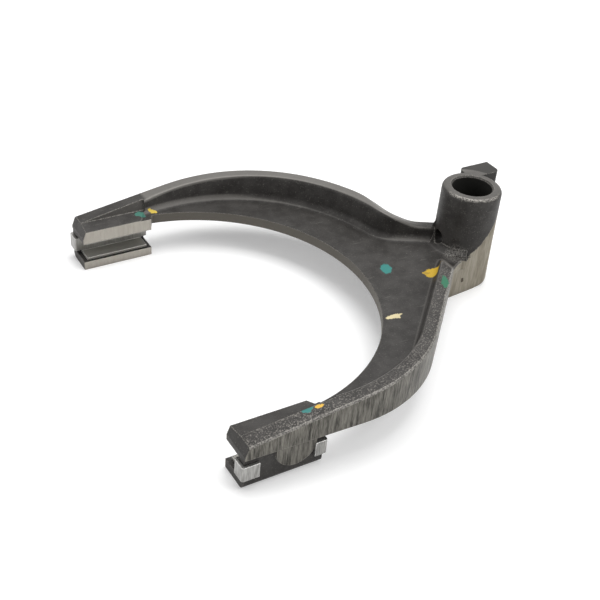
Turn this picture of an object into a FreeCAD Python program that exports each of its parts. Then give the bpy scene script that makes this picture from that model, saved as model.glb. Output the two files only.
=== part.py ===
import FreeCAD, Part

import math
import os
from functools import partial

import Sketcher

V = FreeCAD.Vector
START, END, CENTRE = range(1, 4)

# Driving sizes, in millimetres and degrees. The origin is on the rail bore's axis in the plane that
# the fork rests on. +Z is along the bore, -X points to the tips and +Y to the far arm. Sizes that end
# in back, side, near or far are distances from the bore's axis.
SIZES = {
    "bore_radius": 8.0,
    "bore_chamfer": 0.6,
    "boss_height": 42.5,
    "boss_top_radius": 11.9,
    "boss_foot_radius": 12.3,
    "boss_top_round": 1.8,
    "boss_foot_round": 2.2,
    "skirt_round": 3.0,
    "skirt_start": -35.0,
    "skirt_turn": 95.0,
    "ledge_distance": 13.3,
    "ledge_angle": 38.7,
    "fork_shift": 3.5,
    "sleeve_back": 115.7,
    "sleeve_radius": 65.3,
    "pad_past_axis": 7.0,
    "pad_before_axis": 21.9,
    "heel_run": 1.5,
    "tip_half_width": 74.4,
    "far_arc_radius": 71.8,
    "far_arc_back": 95.6,
    "far_arc_side": 6.9,
    "near_arc_radius": 52.5,
    "near_arc_back": 93.1,
    "near_arc_side": 19.5,
    "flat_distance": 11.0,
    "flat_angle": 5.5,
    "flat_start": 7.6,
    "flat_blend": 16.0,
    "neck_angle": 28.0,
    "neck_blend": 7.0,
    "neck_end_back": 6.0,
    "neck_end_side": 8.4,
    "web_under": 12.9,
    "web_thick": 3.9,
    "rim_width": 6.2,
    "rim_neck_width": 5.4,
    "rim_draft": 5.0,
    "rim_foot_round": 3.0,
    "rim_top_round": 1.2,
    "rim_outer_edge": 0.6,
    "far_hollow_end": 109.0,
    "near_hollow_end": 103.0,
    "hollow_end_run": 7.0,
    "rim_peak": 28.1,
    "rim_peak_back": 36.5,
    "rim_bow": 430.0,
    "rim_tip_height": 17.8,
    "crest_back": 30.5,
    "crest_round": 6.0,
    "crest_slope_far": 24.0,
    "crest_slope_near": 41.0,
    "far_neck_height": 22.6,
    "far_hollow": 14.0,
    "near_hollow": 3.0,
    "jaw_top": 17.1,
    "jaw_foot_round": 2.4,
    "jaw_slope": 7.0,
    "jaw_wall_lean": 20.0,
    "tip_face_height": 14.0,
    "tip_face_slope": 70.0,
    "slot_floor": 3.5,
    "slot_width": 8.4,
    "slot_depth": 8.4,
    "slot_wall": 3.6,
    "jaw_skin": 0.6,
    "lobe_before_axis": 3.3,
    "lobe_radius": 7.4,
    "lobe_height": 11.5,
    "base_run": 15.0,
    "base_far": 10.5,
    "trim_low": 15.4,
    "trim_slope": 50.0,
    "lug_from": 4.0,
    "lug_to": 18.5,
    "lug_near": 5.5,
    "lug_far": 14.0,
    "lug_height": 15.5,
    "lug_corner": 2.3,
    "pin_radius": 3.0,
    "pin_height": 21.2,
    "pin_angle": 7.0,
    "liner_thick": 1.0,
    "liner_play": 0.05,
    "liner_setback": 1.2,
    "flange_short": 1.7,
    "ear_width": 5.7,
    "hook_at_tip": 6.3,
    "hook_at_heel": 4.5,
    "bend_radius": 0.8,
    "overrun": 4.0,
}

# Places that several features share: X of the pads' ends, Z of the web's top, and distances of the
# jaws' outer walls, the slots' roots and the pads' faces from the fork's centre line
TIP = "-(sizes.sleeve_back + sizes.pad_before_axis)"
HEEL = "-(sizes.sleeve_back - sizes.pad_past_axis)"
WEB_TOP = "sizes.web_under + sizes.web_thick"
WALL = "(sizes.tip_half_width - sizes.jaw_skin)"
SLOT_ROOT = f"({WALL} - sizes.slot_wall)"
PAD_FACE = f"({SLOT_ROOT} - sizes.slot_depth)"


def make_sheet(doc):
    sheet = doc.addObject("Spreadsheet::Sheet", "sizes")
    for row, (alias, value) in enumerate(SIZES.items(), 1):
        sheet.set(f"A{row}", alias)
        sheet.set(f"B{row}", str(value))
        sheet.setAlias(f"B{row}", alias)
    doc.recompute()
    return sheet


def plane_of(body, role):
    return next(item for item in body.Origin.OriginFeatures if item.Role == role)


def add_sketch(body, name, role="XY_Plane", lift=None, turn=None):
    """A sketch on an origin plane, turned about the plane's upright, then lifted along its normal."""
    sketch = body.newObject("Sketcher::SketchObject", name)
    sketch.AttachmentSupport = (plane_of(body, role), [""])
    sketch.MapMode = "FlatFace"
    if turn:
        sketch.AttachmentOffset = FreeCAD.Placement(V(), FreeCAD.Rotation(V(0, 1, 0), 1))
        sketch.setExpression("AttachmentOffset.Rotation.Angle", turn)
        sketch.setExpression("AttachmentOffset.Base.x", f"({lift}) * sin({turn})")
        lift = f"({lift}) * cos({turn})"
    if lift:
        sketch.setExpression("AttachmentOffset.Base.z", lift)
    return sketch


def constrain(sketch, kind, *values):
    return sketch.addConstraint(Sketcher.Constraint(kind, *values))


def bind(sketch, index, expression):
    """Names a constraint and binds its value to an expression of the sheet."""
    name = f"size_{index}"
    sketch.renameConstraint(index, name)
    sketch.setExpression(f"Constraints.{name}", expression)


def pin(sketch, geo, pos, x_size=None, y_size=None):
    """Binds a point's coordinates."""
    point = sketch.getPoint(geo, pos)
    if x_size:
        bind(sketch, constrain(sketch, "DistanceX", geo, pos, point.x), x_size)
    if y_size:
        bind(sketch, constrain(sketch, "DistanceY", geo, pos, point.y), y_size)


def pin_arc(sketch, geo, radius, x_size=None, y_size=None):
    """Binds an arc's radius and, where they are given, its centre's coordinates."""
    bind(sketch, constrain(sketch, "Radius", geo, sketch.Geometry[geo].Radius), radius)
    pin(sketch, geo, CENTRE, x_size, y_size)


def pin_slope(sketch, geo, angle):
    """Binds a line's angle to the sketch's X."""
    edge = sketch.Geometry[geo]
    guess = math.atan2(edge.EndPoint.y - edge.StartPoint.y, edge.EndPoint.x - edge.StartPoint.x)
    bind(sketch, constrain(sketch, "Angle", geo, guess), angle)


def line(first, last):
    return Part.LineSegment(V(first[0], first[1]), V(last[0], last[1]))


def arc(centre, first, last):
    """Counter-clockwise arc about centre, from one point towards another."""
    begin, finish = (math.atan2(p[1] - centre[1], p[0] - centre[0]) for p in (first, last))
    radius = math.hypot(first[0] - centre[0], first[1] - centre[1])
    circle = Part.Circle(V(centre[0], centre[1]), V(0, 0, 1), radius)
    return Part.ArcOfCircle(circle, begin, finish if finish > begin else finish + 2 * math.pi)


def join_up(sketch, curves, smooth=()):
    """Adds curves as a closed outline. smooth holds the curves that are tangent to the next one."""
    sketch.addGeometry(curves, False)
    for one in range(len(curves)):
        two = (one + 1) % len(curves)
        pairs = [(a, b) for a in (START, END) for b in (START, END)]
        gaps = {p: (sketch.getPoint(one, p[0]) - sketch.getPoint(two, p[1])).Length for p in pairs}
        here, there = min(gaps, key=gaps.get)
        kind = "Tangent" if one in smooth else "Coincident"
        constrain(sketch, kind, one, here, two, there)


def polygon(sketch, sheet, corners):
    """Closed outline of straight edges, from pairs of expressions."""
    points = [(value(sheet, x), value(sheet, y)) for x, y in corners]
    join_up(sketch, [line(points[i - 1], points[i]) for i in range(len(points))])
    for i, (x_size, y_size) in enumerate(corners):
        pin(sketch, i, END, x_size, y_size)


def value(sheet, expression):
    """An expression's value, for the first guess that the sketch's solver starts from."""
    return float(sheet.evalExpression(expression))


def side_of(sign, across):
    """Y at a distance from the fork's centre line, to the far side or to the near side."""
    return f"sizes.fork_shift {'+' if sign > 0 else '-'} ({across})"


def outer_chain(sheet, inset, neck_inset):
    """Curves of the fork's outer edge from the near arm to the far arm, drawn inset from it."""
    back, near_side = value(sheet, "sizes.near_arc_back"), value(sheet, "sizes.near_arc_side")
    near = V(-back, -near_side)
    far = V(-value(sheet, "sizes.far_arc_back"), value(sheet, "sizes.far_arc_side"))
    near_radius = value(sheet, f"sizes.near_arc_radius - {inset}")
    far_radius = value(sheet, f"sizes.far_arc_radius - {inset}")
    blend_radius = value(sheet, f"sizes.flat_blend + {inset}")
    neck_radius = value(sheet, f"sizes.neck_blend + {inset}")
    flat = [V(*(value(sheet, part) for part in point)) for point in flat_ends(inset)]
    neck = V(*(value(sheet, part) for part in neck_end(neck_inset)))
    tilt = math.radians(value(sheet, "sizes.flat_angle"))
    blend = flat[0] + V(math.sin(tilt), -math.cos(tilt)) * blend_radius

    # the straight run touches the near arc on one side and the blend on the other
    run = blend - near
    heading = math.atan2(run.y, run.x) + math.asin((near_radius + blend_radius) / run.Length)
    square = V(math.sin(heading), -math.cos(heading))
    straight = [near + square * near_radius, blend - square * blend_radius]

    # the neck's blend touches the neck line and the far arc
    lean = math.radians(value(sheet, "sizes.neck_angle"))
    along, out = V(-math.cos(lean), math.sin(lean)), V(math.sin(lean), math.cos(lean))
    start = neck + out * neck_radius - far
    half = start * along
    step = -half - math.sqrt(half**2 - start.Length**2 + (far_radius + neck_radius) ** 2)
    hollow = far + start + along * step
    neck_foot = neck + along * step
    far_start = far + (hollow - far).normalize() * far_radius

    near_start = near + V(-0.2, -1).normalize() * near_radius
    far_finish = far + V(-0.1, 1).normalize() * far_radius
    return [
        arc(near, near_start, straight[0]),
        line(*straight),
        arc(blend, flat[0], straight[1]),
        line(*flat),
        line(flat[1], neck),
        line(neck, neck_foot),
        arc(hollow, far_start, neck_foot),
        arc(far, far_start, far_finish),
    ]


def flat_ends(inset):
    """Ends of the trimmed flat's edge, as expressions."""
    reach = f"(sizes.flat_distance - {inset})"
    foot = (f"{reach} * sin(sizes.flat_angle)", f"-{reach} * cos(sizes.flat_angle)")
    start = (
        f"{foot[0]} - sizes.flat_start * cos(sizes.flat_angle)",
        f"{foot[1]} - sizes.flat_start * sin(sizes.flat_angle)",
    )
    return start, foot


def neck_end(inset):
    """End of the neck line inside the boss, as expressions."""
    return (
        f"-sizes.neck_end_back - {inset} * sin(sizes.neck_angle)",
        f"sizes.neck_end_side - {inset} * cos(sizes.neck_angle)",
    )


def hold_chain(sketch, first, inset, neck_inset):
    """Binds the curves of the outer chain, where first is the near arc's number."""
    back, near_side = "-sizes.near_arc_back", "-sizes.near_arc_side"
    pin_arc(sketch, first, f"sizes.near_arc_radius - {inset}", back, near_side)
    start, foot = flat_ends(inset)
    pin(sketch, first + 3, START, *start)
    pin(sketch, first + 3, END, *foot)
    pin_arc(sketch, first + 2, f"sizes.flat_blend + {inset}")
    pin(sketch, first + 5, START, *neck_end(neck_inset))
    pin_slope(sketch, first + 5, "180 - sizes.neck_angle")
    pin_arc(sketch, first + 6, f"sizes.neck_blend + {inset}")
    far = ("-sizes.far_arc_back", "sizes.far_arc_side")
    pin_arc(sketch, first + 7, f"sizes.far_arc_radius - {inset}", *far)


def fork_outline(body, sheet):
    """Plan of the whole fork: both arms, the heels of the pads and the neck at the boss."""
    sketch = add_sketch(body, "fork_plan", lift="sizes.web_under")
    chain = outer_chain(sheet, "0", "0")
    tip, heel = value(sheet, TIP), value(sheet, HEEL)
    sleeve = V(-value(sheet, "sizes.sleeve_back"), value(sheet, "sizes.fork_shift"))
    run = value(sheet, "sizes.heel_run + sizes.pad_past_axis")
    rise = math.sqrt(value(sheet, "sizes.sleeve_radius") ** 2 - run**2)
    inner, outer, step = {}, {}, {}
    for sign in (1, -1):
        inner[sign] = value(sheet, side_of(sign, PAD_FACE))
        outer[sign] = value(sheet, side_of(sign, "sizes.tip_half_width"))
        step[sign] = sleeve + V(run, sign * rise)
    curves = [line((tip, outer[-1]), chain[0].StartPoint), *chain]
    curves += [
        line(chain[-1].EndPoint, (tip, outer[1])),
        line((tip, outer[1]), (tip, inner[1])),
        line((tip, inner[1]), (heel, inner[1])),
        line((heel, inner[1]), step[1]),
        arc(sleeve, step[-1], step[1]),
        line(step[-1], (heel, inner[-1])),
        line((heel, inner[-1]), (tip, inner[-1])),
        line((tip, inner[-1]), (tip, outer[-1])),
    ]
    join_up(sketch, curves, smooth=(0, 1, 2, 3, 6, 7, 8))
    hold_chain(sketch, 1, "0", "0")
    pin(sketch, 0, START, TIP, side_of(-1, "sizes.tip_half_width"))
    pin(sketch, 9, END, TIP, side_of(1, "sizes.tip_half_width"))
    pin(sketch, 10, END, TIP, side_of(1, PAD_FACE))
    pin(sketch, 11, END, HEEL, side_of(1, PAD_FACE))
    pin_arc(sketch, 13, "sizes.sleeve_radius", "-sizes.sleeve_back", "sizes.fork_shift")
    for curve in (12, 14):
        pin(sketch, curve, END if curve == 12 else START, f"{HEEL} + sizes.heel_run")
    pin(sketch, 14, END, HEEL, side_of(-1, PAD_FACE))
    pin(sketch, 15, END, TIP, side_of(-1, PAD_FACE))
    return sketch


def web_outline(body, sheet):
    """Plan of the hollow inside the rim, at the level of the web."""
    sketch = add_sketch(body, "web_plan", lift=WEB_TOP)
    insets = "sizes.rim_width", "sizes.rim_neck_width"
    chain = outer_chain(sheet, *insets)
    across = f"{PAD_FACE} - sizes.overrun"
    far = "-(sizes.far_hollow_end + sizes.hollow_end_run)", side_of(1, across)
    near = "-(sizes.near_hollow_end + sizes.hollow_end_run)", side_of(-1, across)
    far_corner, near_corner = ([value(sheet, size) for size in corner] for corner in (far, near))
    curves = [line(near_corner, chain[0].StartPoint), *chain]
    curves += [line(chain[-1].EndPoint, far_corner), line(far_corner, near_corner)]
    join_up(sketch, curves, smooth=(1, 2, 3, 6, 7))
    hold_chain(sketch, 1, *insets)
    pin(sketch, 0, START, *near)
    pin(sketch, 9, END, *far)
    pin(sketch, 0, END, "-sizes.near_hollow_end")
    pin(sketch, 9, START, "-sizes.far_hollow_end")
    return sketch


def rim_profile(body, sheet, name, slope, level, hollow):
    """Side view of what is cut away above a rim: it rises from the tip, bows, and falls to the neck."""
    sketch = add_sketch(body, name, "XZ_Plane")
    get = partial(value, sheet)
    tip, top = get(f"{TIP} - sizes.overrun"), get("sizes.rim_peak + sizes.overrun")
    bow = V(-get("sizes.rim_peak_back"), get("sizes.rim_peak - sizes.rim_bow"))
    radius = get("sizes.rim_bow")
    start = V(get(TIP), get("sizes.rim_tip_height"))
    reach = (start - bow).Length
    turn = math.atan2(start.y - bow.y, start.x - bow.x) - math.acos(radius / reach)
    touch = bow + V(math.cos(turn), math.sin(turn)) * radius
    crest = V(-get("sizes.crest_back"), 0)
    crest.y = bow.y + math.sqrt(radius**2 - (crest.x - bow.x) ** 2)
    crown = get("sizes.crest_round")
    up = (crest - bow).normalize()
    cap = crest - up * crown
    fall = math.radians(get(slope))
    out = V(math.sin(fall), math.cos(fall))
    drop = cap + out * crown
    dish, floor = get(hollow), get(level)
    run = (drop.y - floor - dish * (1 - math.cos(fall))) / math.sin(fall)
    foot = drop + V(math.cos(fall), -math.sin(fall)) * run
    well = foot + out * dish
    edge = get("sizes.boss_foot_radius")
    curves = [
        line(touch, start),
        line(start, (start.x, top)),
        line((start.x, top), (edge, top)),
        line((edge, top), (edge, floor)),
        line((edge, floor), (well.x, floor)),
        arc(well, foot, (well.x, floor)),
        line(foot, drop),
        arc(cap, drop, crest),
        arc(bow, crest, touch),
    ]
    join_up(sketch, curves, smooth=(4, 5, 6, 7, 8))
    constrain(sketch, "Vertical", 1)
    constrain(sketch, "Horizontal", 2)
    constrain(sketch, "Vertical", 3)
    constrain(sketch, "Horizontal", 4)
    pin(sketch, 0, END, TIP, "sizes.rim_tip_height")
    pin(sketch, 2, END, "sizes.boss_foot_radius", "sizes.rim_peak + sizes.overrun")
    pin(sketch, 4, START, None, level)
    pin_arc(sketch, 5, hollow)
    pin_slope(sketch, 6, f"180 - {slope}")
    pin_arc(sketch, 7, "sizes.crest_round")
    pin_arc(sketch, 8, "sizes.rim_bow", "-sizes.rim_peak_back", "sizes.rim_peak - sizes.rim_bow")
    pin(sketch, 8, START, "-sizes.crest_back")
    return sketch


def extrude(body, kind, name, sketch, length, reverse=False, taper=None):
    feature = body.newObject(f"PartDesign::{kind}", name)
    feature.Profile = sketch
    feature.setExpression("Length", length)
    feature.Reversed = reverse
    if taper:
        feature.setExpression("TaperAngle", taper)
    body.Document.recompute()
    return feature


def dress(body, kind, name, base, edges, size):
    """Rounds or chamfers edges of the body."""
    feature = body.newObject(f"PartDesign::{kind}", name)
    feature.Base = (base, edges)
    feature.setExpression("Radius" if kind == "Fillet" else "Size", size)
    body.Document.recompute()
    return feature


def edges_where(feature, test):
    """Names of the edges whose sampled points all pass a test."""
    names = []
    for number, edge in enumerate(feature.Shape.Edges, 1):
        if all(test(point) for point in edge.discretize(Number=5)):
            names.append(f"Edge{number}")
    return names


def circle(body, sheet, name, role, radius, centre, lift=None, turn=None):
    """Sketch of one circle, from expressions of its radius and its centre."""
    sketch = add_sketch(body, name, role, lift, turn)
    middle = V(*(value(sheet, size) for size in centre))
    sketch.addGeometry(Part.Circle(middle, V(0, 0, 1), value(sheet, radius)), False)
    pin_arc(sketch, 0, radius, *centre)
    return sketch


def rectangle(body, sheet, name, role, x_span, y_span, lift=None, turn=None):
    """Sketch of one rectangle, from expressions of its spans."""
    sketch = add_sketch(body, name, role, lift, turn)
    (left, right), (low, high) = x_span, y_span
    polygon(sketch, sheet, [(left, low), (right, low), (right, high), (left, high)])
    return sketch


def add_boss(body, sheet):
    """Turned boss, with its rounded ends."""
    sketch = add_sketch(body, "boss_profile", "XZ_Plane")
    corners = [
        ("0", "0"),
        ("sizes.boss_foot_radius", "0"),
        ("sizes.boss_top_radius", "sizes.boss_height"),
        ("0", "sizes.boss_height"),
    ]
    polygon(sketch, sheet, corners)
    boss = body.newObject("PartDesign::Revolution", "boss")
    boss.Profile = sketch
    boss.ReferenceAxis = (sketch, ["V_Axis"])
    body.Document.recompute()
    top, foot = value(sheet, "sizes.boss_height"), value(sheet, "sizes.boss_foot_radius")
    on_top = edges_where(boss, lambda point: abs(point.z - top) < 0.01)
    boss = dress(body, "Fillet", "boss_top_edge", boss, on_top, "sizes.boss_top_round")
    on_foot = edges_where(boss, lambda p: p.z < 0.01 and abs(math.hypot(p.x, p.y) - foot) < 0.01)
    dress(body, "Fillet", "boss_foot_edge", boss, on_foot, "sizes.boss_foot_round")


def add_skirt(body, sheet):
    """Hollow round between the boss and the web, cut off along a ledge on the near side."""
    sketch = add_sketch(body, "skirt_profile", "XZ_Plane", "0", "sizes.skirt_start")
    get = partial(value, sheet)
    radius, level = get("sizes.skirt_round"), get(WEB_TOP)
    inner, outer = get("sizes.boss_top_radius"), get("sizes.boss_foot_radius + sizes.skirt_round")
    centre = V(-outer, level + radius)
    curves = [
        arc(centre, (-outer, level), (-outer + radius, level + radius)),
        line((-outer + radius, level + radius), (-inner + radius, level + radius)),
        line((-inner + radius, level + radius), (-inner + radius, get("sizes.web_under"))),
        line((-inner + radius, get("sizes.web_under")), (-outer, get("sizes.web_under"))),
        line((-outer, get("sizes.web_under")), (-outer, level)),
    ]
    join_up(sketch, curves)
    reach = "-(sizes.boss_foot_radius + sizes.skirt_round)"
    pin_arc(sketch, 0, "sizes.skirt_round", reach, f"{WEB_TOP} + sizes.skirt_round")
    pin(sketch, 1, START, None, f"{WEB_TOP} + sizes.skirt_round")
    pin(sketch, 4, END, reach, None)
    constrain(sketch, "Horizontal", 1)
    constrain(sketch, "Vertical", 2)
    constrain(sketch, "Horizontal", 3)
    constrain(sketch, "Vertical", 4)
    pin(sketch, 2, END, "sizes.skirt_round - sizes.boss_top_radius", "sizes.web_under")
    skirt = body.newObject("PartDesign::Revolution", "skirt")
    skirt.Profile = sketch
    skirt.ReferenceAxis = (sketch, ["V_Axis"])
    skirt.setExpression("Angle", "sizes.skirt_turn")
    body.Document.recompute()

    corners = [
        ("-sizes.base_run", WEB_TOP),
        ("sizes.boss_foot_radius", WEB_TOP),
        ("sizes.boss_foot_radius", f"{WEB_TOP} + sizes.skirt_round + sizes.overrun"),
        ("-sizes.base_run", f"{WEB_TOP} + sizes.skirt_round + sizes.overrun"),
    ]
    lift, turn = "sizes.ledge_distance", "-sizes.ledge_angle"
    sketch = add_sketch(body, "ledge_face", "XZ_Plane", lift, turn)
    polygon(sketch, sheet, corners)
    extrude(body, "Pocket", "ledge", sketch, "sizes.overrun", reverse=True)


def add_neck(body, sheet):
    """Base block under the web and the lug beside the boss's mouth."""
    flat = flat_ends("0")[1]
    back = "(sizes.base_run + sizes.flat_distance * sin(sizes.flat_angle))"
    corners = [
        (f"{flat[0]} - {back} * cos(sizes.flat_angle)", f"{flat[1]} - {back} * sin(sizes.flat_angle)"),
        flat,
        ("0", "sizes.base_far"),
        ("-sizes.base_run", "sizes.base_far"),
    ]
    sketch = add_sketch(body, "base_plan")
    polygon(sketch, sheet, corners)
    extrude(body, "Pad", "base_block", sketch, WEB_TOP)

    get = partial(value, sheet)
    span = ("sizes.lug_from", "sizes.lug_to"), ("sizes.lug_near", "sizes.lug_far")
    sketch = rectangle(body, sheet, "lug_plan", "XY_Plane", *span, lift="sizes.boss_height")
    lug = extrude(body, "Pad", "lug", sketch, "sizes.lug_height", reverse=True)
    level = get("sizes.boss_height - sizes.lug_height / 2")
    corners = ("sizes.lug_from", "sizes.lug_far"), ("sizes.lug_to", "sizes.lug_near")
    upright = [edge_near(lug, V(get(x_size), get(y_size), level)) for x_size, y_size in corners]
    dress(body, "Fillet", "lug_corners", lug, upright, "sizes.lug_corner")


def add_tips(body, sheet):
    """Claw tips: the jaws below the slots, the lobes outside them and the sloped tops."""
    for sign, side in ((1, "far"), (-1, "near")):
        face, root = side_of(sign, PAD_FACE), side_of(sign, SLOT_ROOT)
        wall = side_of(sign, WALL)
        sketch = rectangle(body, sheet, f"{side}_jaw_plan", "XY_Plane", (TIP, HEEL), (face, wall))
        jaw = extrude(body, "Pad", f"{side}_jaw", sketch, "sizes.web_under")
        middle = V(-value(sheet, "sizes.sleeve_back"), value(sheet, wall), 0)
        corner = [edge_near(jaw, middle)]
        dress(body, "Fillet", f"{side}_jaw_corner", jaw, corner, "sizes.jaw_foot_round")

        lift = f"-({side_of(sign, 'sizes.tip_half_width')})"
        centre = "-(sizes.sleeve_back + sizes.lobe_before_axis)", "sizes.lobe_height"
        name = f"{side}_lobe_face"
        sketch = circle(body, sheet, name, "XZ_Plane", "sizes.lobe_radius", centre, lift)
        depth = "sizes.jaw_skin + sizes.slot_floor"
        extrude(body, "Pad", f"{side}_lobe", sketch, depth, reverse=sign < 0)

        slot = ("sizes.slot_floor", "sizes.slot_floor + sizes.slot_width")
        beyond = side_of(sign, f"{PAD_FACE} - sizes.overrun")
        span = (beyond, root), slot
        sketch = rectangle(body, sheet, f"{side}_slot_end", "YZ_Plane", *span, lift=f"{TIP}")
        length = "sizes.pad_before_axis + sizes.pad_past_axis"
        extrude(body, "Pocket", f"{side}_slot", sketch, length, reverse=True)

        ceiling = "(sizes.rim_peak + sizes.overrun)"
        foot = "(sizes.tip_half_width - sizes.rim_width)"
        rise = f"sizes.jaw_top + ({foot} - {PAD_FACE}) * tan(sizes.jaw_slope)"
        lean = f"({ceiling} - ({rise})) * tan(sizes.jaw_wall_lean)"
        sketch = add_sketch(body, f"{side}_top_end", "YZ_Plane", TIP)
        corners = [
            (beyond, "sizes.jaw_top"),
            (face, "sizes.jaw_top"),
            (side_of(sign, foot), rise),
            (side_of(sign, f"{foot} + {lean}"), ceiling),
            (beyond, ceiling),
        ]
        polygon(sketch, sheet, corners)
        length = f"sizes.sleeve_back + sizes.pad_before_axis - sizes.{side}_hollow_end"
        extrude(body, "Pocket", f"{side}_top", sketch, length, reverse=True)


def slope_tip_ends(body, sheet):
    """Leans the upper part of both tips' end faces back."""
    ceiling = "(sizes.rim_peak + sizes.overrun)"
    run = f"({ceiling} - sizes.tip_face_height) / tan(sizes.tip_face_slope)"
    corners = [
        (f"{TIP} - sizes.overrun", "sizes.tip_face_height"),
        (TIP, "sizes.tip_face_height"),
        (f"{TIP} + {run}", ceiling),
        (f"{TIP} - sizes.overrun", ceiling),
    ]
    sketch = add_sketch(body, "tip_face_profile", "XZ_Plane")
    polygon(sketch, sheet, corners)
    cut = extrude(body, "Pocket", "tip_faces", sketch, "4 * sizes.tip_half_width")
    cut.Midplane = True
    body.Document.recompute()


def machine_boss(body, sheet):
    """Trimmed flat, rail bore and pin hole."""
    start = "-sizes.flat_start"
    end, run = "sizes.boss_foot_radius", "(sizes.boss_foot_radius + sizes.flat_start)"
    below = "-sizes.overrun"
    corners = [
        (start, below),
        (end, below),
        (end, f"sizes.trim_low + {run} * tan(sizes.trim_slope)"),
        (start, "sizes.trim_low"),
    ]
    sketch = add_sketch(body, "trim_face", "XZ_Plane", "sizes.flat_distance", "sizes.flat_angle")
    polygon(sketch, sheet, corners)
    extrude(body, "Pocket", "trimmed_flat", sketch, "sizes.overrun", reverse=True)

    sketch = circle(body, sheet, "bore_circle", "XY_Plane", "sizes.bore_radius", ("0", "0"))
    bore = extrude(body, "Pocket", "rail_bore", sketch, "sizes.boss_height", reverse=True)
    radius = value(sheet, "sizes.bore_radius")
    on_bore = lambda point: abs(math.hypot(point.x, point.y) - radius) < 0.01
    top = value(sheet, "sizes.boss_height")
    mouth = edges_where(bore, lambda point: on_bore(point) and abs(point.z - top) < 0.01)
    dress(body, "Chamfer", "bore_mouth", bore, mouth, "sizes.bore_chamfer")

    centre, lift = ("0", "sizes.pin_height"), "(sizes.boss_foot_radius + sizes.overrun)"
    turn = "-(90 + sizes.pin_angle)"
    sketch = circle(body, sheet, "pin_circle", "XZ_Plane", "sizes.pin_radius", centre, lift, turn)
    extrude(body, "Pocket", "pin_hole", sketch, f"2 * {lift}")


def edge_near(feature, point):
    """Name of the edge that passes closest to a point."""
    spot = Part.Vertex(point)
    gaps = [edge.distToShape(spot)[0] for edge in feature.Shape.Edges]
    return f"Edge{gaps.index(min(gaps)) + 1}"


def rim_points(sheet, inset, level):
    """A point of each arm's rim, at the widest part of the arm."""
    get = partial(value, sheet)
    far = V(-get("sizes.far_arc_back"), get("sizes.far_arc_side"), level)
    near = V(-get("sizes.near_arc_back"), -get("sizes.near_arc_side"), level)
    return [
        far + V(1, 1).normalize() * get(f"sizes.far_arc_radius - {inset}"),
        near - V(0, 1) * get(f"sizes.near_arc_radius - {inset}"),
    ]


def round_rims(body, sheet, hollow):
    """Rounds the foot of both rims and their tops' inner edges, and breaks the outer edges."""
    floor, peak = value(sheet, WEB_TOP), value(sheet, "sizes.rim_peak")
    rounds = (
        ("Fillet", "rim_feet", "sizes.rim_width", floor, "sizes.rim_foot_round"),
        ("Chamfer", "rim_outer_edges", "0", peak, "sizes.rim_outer_edge"),
        ("Fillet", "rim_inner_edges", "sizes.rim_width", peak, "sizes.rim_top_round"),
    )
    feature = hollow
    for kind, name, inset, level, size in rounds:
        edges = [edge_near(feature, point) for point in rim_points(sheet, inset, level)]
        feature = dress(body, kind, name, feature, edges, size)


def make_forging(doc, sheet):
    body = doc.addObject("PartDesign::Body", "fork_forging")
    plan = fork_outline(body, sheet)
    extrude(body, "Pad", "arms", plan, "sizes.rim_peak + sizes.rim_top_round - sizes.web_under")
    sizes = "sizes.crest_slope_far", "sizes.far_neck_height", "sizes.far_hollow"
    sketch = rim_profile(body, sheet, "far_profile", *sizes)
    extrude(body, "Pocket", "far_rim_top", sketch, "sizes.sleeve_back")
    sketch = rim_profile(
        body, sheet, "near_profile", "sizes.crest_slope_near", WEB_TOP, "sizes.near_hollow"
    )
    extrude(body, "Pocket", "near_rim_top", sketch, "sizes.sleeve_back", reverse=True)
    sketch = web_outline(body, sheet)
    taper = "sizes.rim_draft"
    hollow = extrude(
        body, "Pocket", "web_hollow", sketch, "sizes.rim_peak", reverse=True, taper=taper
    )
    round_rims(body, sheet, hollow)
    add_tips(body, sheet)
    slope_tip_ends(body, sheet)
    add_skirt(body, sheet)
    add_boss(body, sheet)
    add_neck(body, sheet)
    machine_boss(body, sheet)
    return body


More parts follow.
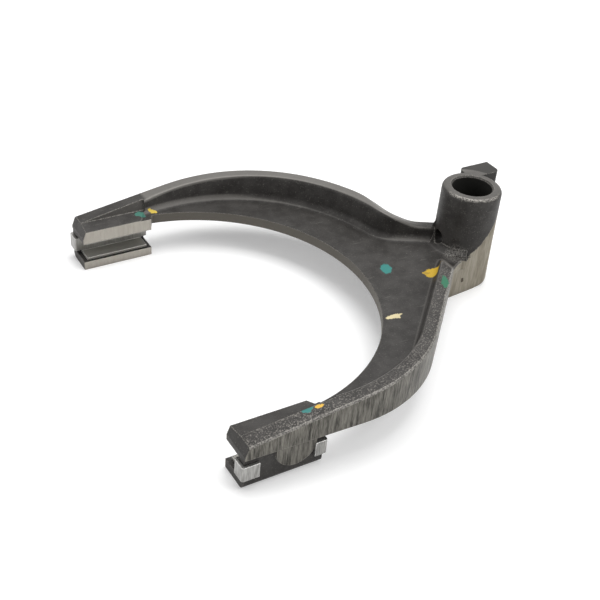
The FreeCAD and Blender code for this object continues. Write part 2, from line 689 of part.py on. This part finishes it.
def make_liner(doc, sheet, sign, side):
    """Clip of bent strip: a channel that lines the slot, with an ear hooked round each end of its wall."""
    body = doc.addObject("PartDesign::Body", f"{side}_slot_liner")
    low = "sizes.slot_floor + (sizes.slot_width - sizes.ear_width) / 2"
    play, thick = "sizes.liner_play", "sizes.liner_thick"
    left, right = f"({TIP} - {play})", f"({HEEL} + {play})"
    begin, end = f"({left} - {thick})", f"({right} + {thick})"
    inner = side_of(sign, f"{SLOT_ROOT} - {play} - {thick}")
    seat = side_of(sign, f"{SLOT_ROOT} - {play}")
    back = side_of(sign, f"{WALL} + {play}")
    outer = side_of(sign, f"{WALL} + {play} + {thick}")
    corners = [
        (begin, inner),
        (end, inner),
        (end, outer),
        (f"{end} - sizes.hook_at_heel", outer),
        (f"{end} - sizes.hook_at_heel", back),
        (right, back),
        (right, seat),
        (left, seat),
        (left, back),
        (f"{begin} + sizes.hook_at_tip", back),
        (f"{begin} + sizes.hook_at_tip", outer),
        (begin, outer),
    ]
    sketch = add_sketch(body, f"{side}_ear_plan", lift=low)
    polygon(sketch, sheet, corners)
    ears = extrude(body, "Pad", f"{side}_ears", sketch, "sizes.ear_width")
    level = value(sheet, f"{low} + sizes.ear_width / 2")
    bends = [
        edge_near(ears, V(value(sheet, x_size), value(sheet, y_size), level))
        for x_size in (begin, end)
        for y_size in (inner, outer)
    ]
    dress(body, "Fillet", f"{side}_bends", ears, bends, "sizes.bend_radius")

    floor = f"sizes.slot_floor + {play}"
    roof = f"sizes.slot_floor + sizes.slot_width - {play}"
    lip = side_of(sign, f"{PAD_FACE} + sizes.liner_setback")
    sketch = add_sketch(body, f"{side}_channel_end", "YZ_Plane", f"{TIP} + sizes.flange_short")
    corners = [
        (lip, floor),
        (seat, floor),
        (seat, roof),
        (lip, roof),
        (lip, f"{roof} - {thick}"),
        (inner, f"{roof} - {thick}"),
        (inner, f"{floor} + {thick}"),
        (lip, f"{floor} + {thick}"),
    ]
    polygon(sketch, sheet, corners)
    length = "sizes.pad_before_axis + sizes.pad_past_axis - 2 * sizes.flange_short"
    extrude(body, "Pad", f"{side}_channel", sketch, length)
    return body


def main():
    doc = FreeCAD.newDocument("shift_fork")
    sheet = make_sheet(doc)
    bodies = [make_forging(doc, sheet)]
    for sign, side in ((1, "far"), (-1, "near")):
        bodies.append(make_liner(doc, sheet, sign, side))
    doc.recompute()
    for item in doc.Objects:
        if "Invalid" in item.State or "Error" in item.State:
            raise RuntimeError(f"{item.Name} did not rebuild: {item.State}")
    os.makedirs("parts", exist_ok=True)
    for body in bodies:
        body.Label = body.Name
        if body.Shape.isNull() or not body.Shape.isValid():
            raise RuntimeError(f"{body.Label} has no valid shape")
        body.Shape.exportStep(f"parts/{body.Label}.step")


main()
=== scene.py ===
import math

import bpy
from mathutils import Matrix, Vector

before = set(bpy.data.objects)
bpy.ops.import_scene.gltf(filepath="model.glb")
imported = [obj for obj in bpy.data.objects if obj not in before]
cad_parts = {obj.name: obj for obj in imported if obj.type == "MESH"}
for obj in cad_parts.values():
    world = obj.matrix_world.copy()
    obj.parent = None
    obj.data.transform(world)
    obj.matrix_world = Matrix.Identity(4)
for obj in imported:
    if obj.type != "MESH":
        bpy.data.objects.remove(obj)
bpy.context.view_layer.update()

print("frame loaded:", sorted(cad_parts))


def linearColour(text):
    channels = [int(text[i:i + 2], 16) / 255 for i in (1, 3, 5)]
    return (*(c / 12.92 if c <= 0.04045 else ((c + 0.055) / 1.055) ** 2.4 for c in channels), 1.0)


# Adds one node and returns one of its outputs. Each input is a value, or the output that feeds it
def addNode(tree, kind, inputs=None, out=0, **settings):
    node = tree.nodes.new(kind)
    for name, setting in settings.items():
        setattr(node, name, setting)
    for key, content in (inputs or {}).items():
        if isinstance(content, bpy.types.NodeSocket):
            tree.links.new(content, node.inputs[key])
        else:
            node.inputs[key].default_value = content
    return node.outputs[out] if node.outputs else None


def newTree(name):
    material = bpy.data.materials.new(name)
    material.use_nodes = True
    material.node_tree.nodes.clear()
    return material, material.node_tree


# Forging of the arms and the boss. Lengths are in millimetres from the bore's axis and the rest plane
trimTilt = math.radians(5.5)    # turn of the trimmed flat below the boss
borderSlope = math.tan(math.radians(50))    # slope of the line where the dark skin ends on the flat
alongTrim = (math.cos(trimTilt), math.sin(trimTilt), 0)
outOfTrim = (math.sin(trimTilt), -math.cos(trimTilt), 0)
shearedWall = ("upright", "outward", "clearOfBoss", "aboveParting", "beforeLug", "beforeTipEnd")
flatOnNeck = ("upright", "trimPlane", "trimFacing", "clearOfBoss", "atNeck", "beforeLug")
forging = {
    # dot products of the place or of the normal with a direction
    "measures": {
        "x": ("place", (1, 0, 0)),
        "y": ("place", (0, 1, 0)),
        "z": ("place", (0, 0, 1)),
        "up": ("normal", (0, 0, 1)),
        "trimReach": ("place", outOfTrim),
        "trimFacing": ("normal", outOfTrim),
        "tipward": ("normal", (-1, 0, 0)),
        "bossFront": ("place", (-0.5, -0.86, 0)),
        "diagonal": ("rough", (-borderSlope * alongTrim[0], -borderSlope * alongTrim[1], 1)),
    },
    # measure, where the mask is 0, where it is 1
    "masks": {
        "upright": ("up", 0.45, 0.2),
        "level": ("up", 0.6, 0.9),
        "outward": ("outward", 2.0, 8.0),
        "clearOfBoss": ("axis", 13.2, 14.0),
        "nearBoss": ("axis", 13.4, 12.9),
        "aboveParting": ("z", 12.7, 12.9),
        "tipWall": ("across", 74.05, 74.25),
        "jawFace": ("across", 62.1, 61.95),
        "jawReach": ("x", -107.5, -108.5),
        "trimPlane": ("trimReach", 10.7, 10.95),
        "trimFacing": ("trimFacing", 0.1, 0.35),
        "belowDiagonal": ("diagonal", 24.9, 24.3),
        "boreWall": ("axis", 8.3, 8.1),
        "belowMouth": ("z", 42.1, 41.4),
        "bossEnd": ("z", 41.2, 42.1),
        "lugSide": ("x", 1.0, 3.0),
        "beforeLug": ("x", 3.0, 1.0),
        "atNeck": ("axis", 34.0, 28.0),
        "pastNeck": ("axis", 28.0, 38.0),
        "tiltedUp": ("up", 0.2, 0.45),
        "tiltedOver": ("up", 0.97, 0.85),
        "rimLevel": ("z", 17.4, 19.5),
        "nearBossFoot": ("axis", 14.2, 13.6),
        "farArm": ("y", 8.0, 16.0),
        "nearArm": ("y", 0.0, -10.0),
        "outerHalf": ("y", -62.0, -68.5),
        "ledge": ("ledge", 5.5, 2.5),
        "beforeTipEnd": ("tipward", 0.5, 0.3),
        "tipReach": ("x", -100.0, -112.0),
        "arcReach": ("x", -109.0, -107.0),
        "inward": ("outward", -15.0, -35.0),
        "belowWeb": ("z", 17.2, 16.7),
        "bossFront": ("bossFront", 3.0, 9.0),
        "rounding": ("up", 0.97, 0.9),
        "specks": ("grain", 0.44, 0.55),
        "fineSpecks": ("grain", 0.53, 0.6),
        "stain": ("stain", 0.52, 0.66),
    },
    # masks multiplied together, then a colour over the skin, its strength, roughness and metal
    "areas": {
        "innerWall": (("upright", "inward", "belowWeb", "arcReach"), "inner", 0.85, 0.5, 0.2),
        "trimmed": (shearedWall, "trim", 0.95, 0.46, 0.35),
        "trimStain": (shearedWall + ("stain",), "shade", 0.5, 0.5, 0.1),
        "tipWalls": (("upright", "tipWall", "jawReach"), "trim", 0.95, 0.46, 0.35),
        "ground": (("upright", "jawFace", "jawReach"), "jaw", 1.0, 0.42, 0.45),
        "flat": (flatOnNeck, "flat", 1.0, 0.5, 0.2),
        "flatFoot": (("upright", "nearBossFoot", "trimFacing", "belowDiagonal"),
                     "flat", 1.0, 0.5, 0.2),
        "flatStain": (flatOnNeck + ("stain",), "stain", 0.4, 0.5, 0.1),
        "footStain": (("upright", "nearBoss", "trimFacing", "belowDiagonal", "stain"),
                      "stain", 0.4, 0.5, 0.1),
        # painted highlight: faces tilted between upright and level are coloured lighter
        "slantHighlights": (("tiltedUp", "tiltedOver", "clearOfBoss", "beforeTipEnd"),
                   "slantHighlight", 0.5, 0.42, 0.25),
        # outward crests past the neck, lighter and speckled: partly rubbed wear, partly painted
        # highlight
        "crestWearAndHighlight": (("tiltedUp", "tiltedOver", "pastNeck", "outward", "beforeTipEnd", "specks"),
                  "wearAndHighlight", 0.9, 0.4, 0.3),
        "rimTop": (("level", "rimLevel", "clearOfBoss", "nearArm", "fineSpecks"),
                   "speck", 0.6, 0.42, 0.3),
        # painted highlight: the far rim's top is coloured lighter
        "farRimTopHighlight": (("level", "rimLevel", "farArm", "arcReach"), "wearAndHighlight", 0.45, 0.38, 0.3),
        "tipTop": (("level", "tipReach", "outerHalf", "fineSpecks"), "speck", 0.5, 0.42, 0.3),
        # painted highlight on the ledge at the boss's foot, broken up by the grain
        "ledge": (("ledge", "specks"), "wearAndHighlight", 0.55, 0.45, 0.2),
        "bossTop": (("level", "bossEnd", "nearBoss"), "wearAndHighlight", 0.25, 0.42, 0.3),
        # front of the boss's rounded end: partly rubbed wear, partly painted highlight
        "endRimWearAndHighlight": (("rounding", "bossEnd", "nearBoss", "bossFront", "specks"),
                    "bright", 0.6, 0.4, 0.3),
        # painted shade: the bore's wall is coloured nearly black
        "bore": (("upright", "boreWall", "belowMouth"), "boreShade", 0.95, 0.6, 0.0),
        "lug": (("clearOfBoss", "lugSide"), "lugSkin", 0.9, 0.6, 0.1),
    },
    "skin": "#3c3a38",
    "deep": "#2c2a28",
    "speck": "#74706b",
    # painted highlight on tilted faces
    "slantHighlight": "#6e6b67",
    # pale tint: rubbed wear on scratches, crests and the boss's end, painted highlight on crests, the
    # far rim's top and the ledge
    "wearAndHighlight": "#8a8782",
    # partly rubbed wear, partly painted highlight on the front of the boss's end
    "bright": "#aeaaa3",
    "trim": ("#36342f", "#827f77"),
    "shade": "#34322d",
    "inner": "#5d5952",
    "jaw": ("#9f9a91", "#aba69d"),
    "flat": ("#847d6d", "#9b9588"),
    "stain": "#5f5442",
    "lugSkin": "#32312f",
    # painted shade inside the bore
    "boreShade": "#20201e",
    # lighter outer corners: partly rubbed wear, partly painted highlight
    "edge": "#b3afa7",
    "roughness": 0.5,
    "metal": 0.1,
    "gloss": 0.25,
    "mottle": 7.0,
    # the blasted grain is near 0.2 mm, too fine to show, so it is drawn coarser
    "grain": 0.6,
    "grainDepth": 0.12,
    "scratch": 1.1,
    "stroke": 0.9,
    "stainWidth": 4.5,
    # waves per millimetre of a ragged border, and twice how far it wanders
    "waves": 0.9,
    "waverReach": 2.2,
    "ledgeAt": (-10.5, -8.5, 17.6),
    "centreLine": 3.5,
    "sleeveAxis": (-115.7, 3.5, 0),
    "edgeRadius": 0.55,
    "edgeReach": 1.5,
    "cornerReach": 5.0,
    # Map Range inputs: 1 and 2 are where a pattern is read, 3 and 4 what comes out there
    "ranges": {
        "mottle": {1: 0.38, 2: 0.62},
        "flecks": {1: 0.62, 2: 0.7, 4: 0.5},
        "scratches": {1: 0.68, 2: 0.76, 4: 0.12},
        "strokes": {1: 0.36, 2: 0.64},
        "bend": {1: 0.995, 2: 0.93},
        "outerCorner": {1: 0.35, 2: 0.75},
        "brokenEdge": {1: 0.4, 2: 0.58, 3: 0.1, 4: 0.65},
        # painted shade in the corners: how dark it gets
        "cornerShade": {1: 0.2, 2: 0.75, 3: 0.45, 4: 1.0},
        "dab": {1: 1.05, 2: 0.9},
    },
}

# Inspection paint, and a dark spot where the flat is dented. Each has its centre, half-sizes and turn
# seen from above, the height range that it keeps to, and its colour
paintMarks = [
    ("tealOnWeb", (-40.6, -4.4), (3.4, 2.3), 60, (16.0, 17.2), "#337a74"),
    ("yellowOnWeb", (-25.4, -14.6), (3.6, 3.2), 0, (16.0, 22.0), "#c4a233"),
    ("yellowTail", (-27.9, -13.2), (2.0, 0.8), -25, (16.0, 22.0), "#a98c38"),
    ("creamOnWeb", (-55.6, -31.6), (3.7, 0.95), 0, (16.0, 17.2), "#d2c59c"),
    ("creamDrop", (-54.6, -32.4), (0.9, 1.3), 0, (16.0, 17.2), "#d2c59c"),
    ("greenOnRim", (-36.3, -34.0), (4.0, 1.35), 58, (24.0, 29.0), "#2f6a50"),
    ("tealOnTip", (-113.5, -66.4), (2.0, 1.4), 0, (18.0, 24.0), "#357874"),
    ("yellowOnTip", (-109.7, -67.1), (1.6, 0.8), 0, (18.0, 24.0), "#dcb048"),
    ("greenOnPad", (-111.7, 69.4), (2.2, 1.6), -30, (16.0, 19.0), "#3d7063"),
    ("yellowOnPad", (-105.9, 70.3), (2.0, 0.9), -30, (16.0, 18.2), "#cbb145"),
    ("darkDentSpot", (-6.9, -11.4), (0.8, 2.0), 20, (5.6, 7.6), "#443b2e"),
]


# Shot-blasted die forging: a dark, warm, dull skin with a fine light grain. The sheared walls show
# upright strokes and the ground jaws are pale and smooth. Crests and corners are lighter, partly from
# rubbing and partly as painted highlight, tilted faces carry painted highlight, and painted shade
# darkens the corners and the bore
def forgedSteel():
    material, tree = newTree("shotBlastedForgedSteel")
    ranges = forging["ranges"]
    coordinates = addNode(tree, "ShaderNodeTexCoord", out="Object")
    place = addNode(tree, "ShaderNodeVectorMath", {0: coordinates, "Scale": 1000.0},
                    operation="SCALE")
    normal = addNode(tree, "ShaderNodeNewGeometry", out="Normal")

    # a ragged copy of the place, for borders that were sheared or splashed
    wander = addNode(tree, "ShaderNodeTexNoise", {
        "Vector": place, "Scale": forging["waves"], "Detail": 3.0}, out=1)
    centred = addNode(tree, "ShaderNodeVectorMath", {0: wander, 1: (0.5, 0.5, 0.5)},
                      operation="SUBTRACT")
    waverReach = (forging["waverReach"],) * 3
    rough = addNode(tree, "ShaderNodeVectorMath", {0: centred, 1: waverReach, 2: place},
                    operation="MULTIPLY_ADD")
    sources = {"place": place, "normal": normal, "rough": rough}
    measures = {}
    for name, (source, direction) in forging["measures"].items():
        measures[name] = addNode(tree, "ShaderNodeVectorMath", {0: sources[source], 1: direction},
                                 operation="DOT_PRODUCT", out=1)

    # distance from the bore's axis, from the fork's centre line, and how far a wall faces outward
    flatPlace = addNode(tree, "ShaderNodeVectorMath", {0: place, 1: (1, 1, 0)}, operation="MULTIPLY")
    measures["axis"] = addNode(tree, "ShaderNodeVectorMath", {0: flatPlace}, operation="LENGTH", out=1)
    fromLine = addNode(tree, "ShaderNodeMath", {0: measures["y"], 1: forging["centreLine"]},
                       operation="SUBTRACT")
    measures["across"] = addNode(tree, "ShaderNodeMath", {0: fromLine}, operation="ABSOLUTE")
    fromSleeve = addNode(tree, "ShaderNodeVectorMath", {0: flatPlace, 1: forging["sleeveAxis"]},
                         operation="SUBTRACT")
    measures["outward"] = addNode(tree, "ShaderNodeVectorMath", {0: fromSleeve, 1: normal},
                                  operation="DOT_PRODUCT", out=1)

    # patterns that the masks read: the grain, and stains drawn out along the walls
    mottle = addNode(tree, "ShaderNodeTexNoise", {
        "Vector": place, "Scale": 1 / forging["mottle"], "Detail": 4.0, "Roughness": 0.65})
    grain = addNode(tree, "ShaderNodeTexNoise", {
        "Vector": place, "Scale": 1 / forging["grain"], "Detail": 2.0, "Roughness": 0.7})
    drawnOut = addNode(tree, "ShaderNodeMapping", {"Vector": place, "Scale": (1.0, 1.0, 0.3)})
    measures["grain"] = grain
    measures["ledge"] = addNode(tree, "ShaderNodeVectorMath", {0: place, 1: forging["ledgeAt"]},
                                operation="DISTANCE", out=1)
    measures["stain"] = addNode(tree, "ShaderNodeTexNoise", {
        "Vector": drawnOut, "Scale": 1 / forging["stainWidth"], "Detail": 3.0})
    masks = {}
    for name, (measure, none, full) in forging["masks"].items():
        masks[name] = addNode(tree, "ShaderNodeMapRange", {0: measures[measure], 1: none, 2: full},
                              interpolation_type="SMOOTHSTEP")

    # skin: a broad mottle, light and dark grain, and short scratches
    tone = addNode(tree, "ShaderNodeMapRange", {0: mottle, **ranges["mottle"]})
    skin = addNode(tree, "ShaderNodeMix", {
        0: tone, 6: linearColour(forging["deep"]), 7: linearColour(forging["skin"])},
        out=2, data_type="RGBA")
    fleck = addNode(tree, "ShaderNodeMapRange", {0: grain, **ranges["flecks"]})
    skin = addNode(tree, "ShaderNodeMix", {0: fleck, 6: skin, 7: linearColour(forging["speck"])},
                   out=2, data_type="RGBA")
    turned = addNode(tree, "ShaderNodeMapping", {
        "Vector": place, "Rotation": (0, 0, math.radians(35)), "Scale": (0.12, 1.0, 1.0)})
    scratches = addNode(tree, "ShaderNodeTexNoise", {
        "Vector": turned, "Scale": 1 / forging["scratch"], "Detail": 1.0})
    scratch = addNode(tree, "ShaderNodeMapRange", {0: scratches, **ranges["scratches"]})
    skin = addNode(tree, "ShaderNodeMix", {0: scratch, 6: skin, 7: linearColour(forging["wearAndHighlight"])},
                   out=2, data_type="RGBA")

    # strokes that the shear and the grinder left, upright on the walls
    stretched = addNode(tree, "ShaderNodeMapping", {"Vector": place, "Scale": (1.0, 1.0, 0.1)})
    strokes = addNode(tree, "ShaderNodeTexNoise", {
        "Vector": stretched, "Scale": 1 / forging["stroke"], "Detail": 3.0, "Roughness": 0.75})
    stroke = addNode(tree, "ShaderNodeMapRange", {0: strokes, **ranges["strokes"]})

    colour, roughness, metal = skin, forging["roughness"], forging["metal"]
    for parts, tint, strength, sheen, share in forging["areas"].values():
        area = strength
        for part in parts:
            area = addNode(tree, "ShaderNodeMath", {0: masks[part], 1: area}, operation="MULTIPLY")
        tints = forging[tint]
        if isinstance(tints, str):
            finish = linearColour(tints)
        else:
            finish = addNode(tree, "ShaderNodeMix", {
                0: stroke, 6: linearColour(tints[0]), 7: linearColour(tints[1])},
                out=2, data_type="RGBA")
        colour = addNode(tree, "ShaderNodeMix", {0: area, 6: colour, 7: finish},
                         out=2, data_type="RGBA")
        roughness = addNode(tree, "ShaderNodeMix", {0: area, 2: roughness, 3: sheen})
        metal = addNode(tree, "ShaderNodeMix", {0: area, 2: metal, 3: share})

    # edges lighter on outer corners, where the rounded normal leaves the flat one: partly rubbed wear,
    # partly painted highlight
    softened = addNode(tree, "ShaderNodeBevel", {"Radius": forging["edgeRadius"] * 0.001}, samples=6)
    alike = addNode(tree, "ShaderNodeVectorMath", {0: softened, 1: normal},
                    operation="DOT_PRODUCT", out=1)
    convex = addNode(tree, "ShaderNodeAmbientOcclusion", {
        "Distance": forging["edgeReach"] * 0.001}, out=1, samples=6, inside=True)
    edge = addNode(tree, "ShaderNodeMapRange", {0: alike, **ranges["bend"]})
    outer = addNode(tree, "ShaderNodeMapRange", {0: convex, **ranges["outerCorner"]})
    ragged = addNode(tree, "ShaderNodeMapRange", {0: grain, **ranges["brokenEdge"]})
    rubAndHighlight = addNode(tree, "ShaderNodeMath", {0: edge, 1: ragged}, operation="MULTIPLY")
    rubAndHighlight = addNode(tree, "ShaderNodeMath", {0: rubAndHighlight, 1: outer}, operation="MULTIPLY")
    colour = addNode(tree, "ShaderNodeMix", {0: rubAndHighlight, 6: colour, 7: linearColour(forging["edge"])},
                     out=2, data_type="RGBA")

    # painted shade: colour darkened in the corners, where less light reaches
    corner = addNode(tree, "ShaderNodeAmbientOcclusion", {
        "Distance": forging["cornerReach"] * 0.001}, out=1, samples=6)
    cornerShade = addNode(tree, "ShaderNodeMapRange", {0: corner, **ranges["cornerShade"]})
    colour = addNode(tree, "ShaderNodeMix", {0: 1.0, 6: colour, 7: cornerShade},
                     out=2, data_type="RGBA", blend_type="MULTIPLY")

    # dabs of paint, dull over the metal
    level = addNode(tree, "ShaderNodeVectorMath", {0: rough, 1: (1, 1, 0)}, operation="MULTIPLY")
    for name, (x, y), (long, wide), turn, (low, high), tint in paintMarks:
        spun = addNode(tree, "ShaderNodeMapping", {
            "Vector": level, "Location": (x, y, 0), "Rotation": (0, 0, math.radians(turn)),
            "Scale": (long, wide, 1)}, vector_type="TEXTURE", label=name)
        reach = addNode(tree, "ShaderNodeVectorMath", {0: spun}, operation="LENGTH", out=1)
        dab = addNode(tree, "ShaderNodeMapRange", {0: reach, **ranges["dab"]})
        under = addNode(tree, "ShaderNodeMath", {0: measures["z"], 1: high}, operation="LESS_THAN")
        above = addNode(tree, "ShaderNodeMath", {0: measures["z"], 1: low}, operation="GREATER_THAN")
        dab = addNode(tree, "ShaderNodeMath", {0: dab, 1: under}, operation="MULTIPLY")
        dab = addNode(tree, "ShaderNodeMath", {0: dab, 1: above}, operation="MULTIPLY")
        colour = addNode(tree, "ShaderNodeMix", {0: dab, 6: colour, 7: linearColour(tint)},
                         out=2, data_type="RGBA")
        metal = addNode(tree, "ShaderNodeMix", {0: dab, 2: metal, 3: 0.0})

    bump = addNode(tree, "ShaderNodeBump", {
        "Height": grain, "Strength": 0.5, "Distance": forging["grainDepth"] * 0.001, "Normal": softened})
    shader = addNode(tree, "ShaderNodeBsdfPrincipled", {
        "Base Color": colour, "Roughness": roughness, "Metallic": metal, "Normal": bump,
        "Specular IOR Level": forging["gloss"]})
    addNode(tree, "ShaderNodeOutputMaterial", {0: shader})
    return material


# Cold-rolled strip that clips round each slot: bright and fine-streaked, with painted shade on the bed
# inside, which is also less metallic, and painted highlight on its edges
linerStrip = {
    "steel": "#aaa9a6",
    "shade": "#807f7c",
    # painted shade on the bed inside the slot
    "inside": "#8d8b84",
    # painted highlight on the strip's edges
    "edge": "#dddcd9",
    "roughness": 0.34,
    "metal": 0.7,
    "bedMetal": 0.25,
    # rolling streaks are finer than this, and drawn coarser to show
    "streak": 0.5,
    "edgeRadius": 0.3,
    # distances from the fork's centre line between which the bed starts
    "bed": (69.35, 69.0),
}


def springStrip():
    material, tree = newTree("coldRolledSpringStrip")
    coordinates = addNode(tree, "ShaderNodeTexCoord", out="Object")
    place = addNode(tree, "ShaderNodeVectorMath", {0: coordinates, "Scale": 1000.0},
                    operation="SCALE")
    normal = addNode(tree, "ShaderNodeNewGeometry", out="Normal")
    stretched = addNode(tree, "ShaderNodeMapping", {"Vector": place, "Scale": (1.0, 1.0, 0.12)})
    streaks = addNode(tree, "ShaderNodeTexNoise", {
        "Vector": stretched, "Scale": 1 / linerStrip["streak"], "Detail": 2.0})
    streak = addNode(tree, "ShaderNodeMapRange", {0: streaks, 1: 0.35, 2: 0.65})
    colour = addNode(tree, "ShaderNodeMix", {
        0: streak, 6: linearColour(linerStrip["shade"]), 7: linearColour(linerStrip["steel"])},
        out=2, data_type="RGBA")

    # the bed lies between the ears, nearer to the centre line than they are
    along = addNode(tree, "ShaderNodeSeparateXYZ", {0: place}, out=1)
    fromLine = addNode(tree, "ShaderNodeMath", {0: along, 1: forging["centreLine"]},
                       operation="SUBTRACT")
    across = addNode(tree, "ShaderNodeMath", {0: fromLine}, operation="ABSOLUTE")
    bed = addNode(tree, "ShaderNodeMapRange", {
        0: across, 1: linerStrip["bed"][0], 2: linerStrip["bed"][1]})
    # painted shade: the bed inside the slot is coloured darker than the open strip
    colour = addNode(tree, "ShaderNodeMix", {
        0: bed, 6: colour, 7: linearColour(linerStrip["inside"])}, out=2, data_type="RGBA")
    metal = addNode(tree, "ShaderNodeMapRange", {
        0: bed, 3: linerStrip["metal"], 4: linerStrip["bedMetal"]})

    # painted highlight: the strip's edges are coloured lighter where the rounded normal leaves the flat
    # one
    softened = addNode(tree, "ShaderNodeBevel", {
        "Radius": linerStrip["edgeRadius"] * 0.001}, samples=6)
    alike = addNode(tree, "ShaderNodeVectorMath", {0: softened, 1: normal},
                    operation="DOT_PRODUCT", out=1)
    edge = addNode(tree, "ShaderNodeMapRange", {0: alike, 1: 0.995, 2: 0.9})
    colour = addNode(tree, "ShaderNodeMix", {
        0: edge, 6: colour, 7: linearColour(linerStrip["edge"])}, out=2, data_type="RGBA")
    shader = addNode(tree, "ShaderNodeBsdfPrincipled", {
        "Base Color": colour, "Roughness": linerStrip["roughness"],
        "Metallic": metal, "Normal": softened})
    addNode(tree, "ShaderNodeOutputMaterial", {0: shader})
    return material


def dress(name, material):
    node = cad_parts[name]
    node.data.materials.clear()
    node.data.materials.append(material)


dress("fork_forging", forgedSteel())
print("forging dressed")
stripLook = springStrip()
for side in ("far", "near"):
    dress(f"{side}_slot_liner", stripLook)
print("slot liners dressed")

# Camera at the photograph's place, worked out from the bore, the arms and the tips
viewpoint = {
    "place": (-0.25458, -0.27097, 0.23846),
    "right": (0.86063, -0.50384, 0.07383),
    "up": (0.24010, 0.52937, 0.81370),
    "lens": 62.644,
    "sensor": 36.0,
}


def addCamera():
    data = bpy.data.cameras.new("photoCamera")
    data.lens = viewpoint["lens"]
    data.sensor_width = viewpoint["sensor"]
    data.clip_start = 0.01
    camera = bpy.data.objects.new("photoCamera", data)
    right, up = Vector(viewpoint["right"]).normalized(), Vector(viewpoint["up"]).normalized()
    back = right.cross(up)
    turn = Matrix((right, up, back)).transposed().to_4x4()
    camera.matrix_world = Matrix.Translation(viewpoint["place"]) @ turn
    bpy.context.collection.objects.link(camera)
    bpy.context.scene.camera = camera


studio = {
    "floor": "#e4e4e4",
    "floorGlow": 0.28,
    # metres from the bore's axis where the floor starts to fade out, and where it has
    "floorFade": (0.35, 1.1),
    "floorHalf": 3.0,
    "roomLevel": 0.4,
    "target": (-0.06, 0.0, 0.01),
    # name, place, size, watts
    "lamps": [
        ("topBox", (0.1, 0.15, 0.9), 0.7, 7.0),
        ("sideBox", (0.35, -0.55, 0.75), 0.5, 3.0),
        ("leftStrip", (-0.8, 0.25, 0.35), 0.35, 1.2),
    ],
}


def addStudio():
    for name, place, size, watts in studio["lamps"]:
        lamp = bpy.data.lights.new(name, "AREA")
        lamp.size, lamp.energy = size, watts
        holder = bpy.data.objects.new(name, lamp)
        holder.location = place
        aim = Vector(studio["target"]) - Vector(place)
        holder.rotation_euler = aim.to_track_quat("-Z", "Y").to_euler()
        bpy.context.collection.objects.link(holder)
    world = bpy.data.worlds.new("studioRoom")
    bpy.context.scene.world = world
    world.use_nodes = True
    tree = world.node_tree
    tree.nodes.clear()
    seen = addNode(tree, "ShaderNodeLightPath", out="Is Camera Ray")
    paths = seen.node.outputs
    for name in ("Is Glossy Ray", "Is Transmission Ray"):
        seen = addNode(tree, "ShaderNodeMath", {0: seen, 1: paths[name]}, operation="MAXIMUM")
    level = addNode(tree, "ShaderNodeMath", {0: seen, 1: studio["roomLevel"]}, operation="MAXIMUM")
    glow = addNode(tree, "ShaderNodeBackground", {1: level, 0: (1, 1, 1, 1)})
    addNode(tree, "ShaderNodeOutputWorld", {0: glow})
    bpy.context.scene.view_settings.view_transform = "Standard"


# The floor takes the object's shadow and is white to the camera elsewhere
def addFloor():
    material, tree = newTree("paleStudioFloor")
    seen = addNode(tree, "ShaderNodeLightPath", out="Is Camera Ray")
    paths = seen.node.outputs
    for name in ("Is Glossy Ray", "Is Transmission Ray"):
        seen = addNode(tree, "ShaderNodeMath", {0: seen, 1: paths[name]}, operation="MAXIMUM")
    coordinates = addNode(tree, "ShaderNodeTexCoord", out="Object")
    reach = addNode(tree, "ShaderNodeVectorMath", {0: coordinates}, operation="LENGTH", out=1)
    near, far = studio["floorFade"]
    level = addNode(tree, "ShaderNodeMapRange", {
        0: reach, 1: near, 2: far, 3: studio["floorGlow"], 4: 1.0})
    glow = addNode(tree, "ShaderNodeMath", {0: seen, 1: level}, operation="MULTIPLY")
    shader = addNode(tree, "ShaderNodeBsdfPrincipled", {
        "Base Color": linearColour(studio["floor"]), "Roughness": 0.9,
        "Emission Color": (1, 1, 1, 1), "Emission Strength": glow})
    addNode(tree, "ShaderNodeOutputMaterial", {0: shader})
    half = studio["floorHalf"]
    mesh = bpy.data.meshes.new("studioFloor")
    corners = [(-half, -half, 0), (half, -half, 0), (half, half, 0), (-half, half, 0)]
    mesh.from_pydata(corners, [], [(0, 1, 2, 3)])
    mesh.materials.append(material)
    floor = bpy.data.objects.new("studioFloor", mesh)
    bpy.context.collection.objects.link(floor)


addCamera()
print("camera set")
addStudio()
addFloor()
print("studio set")
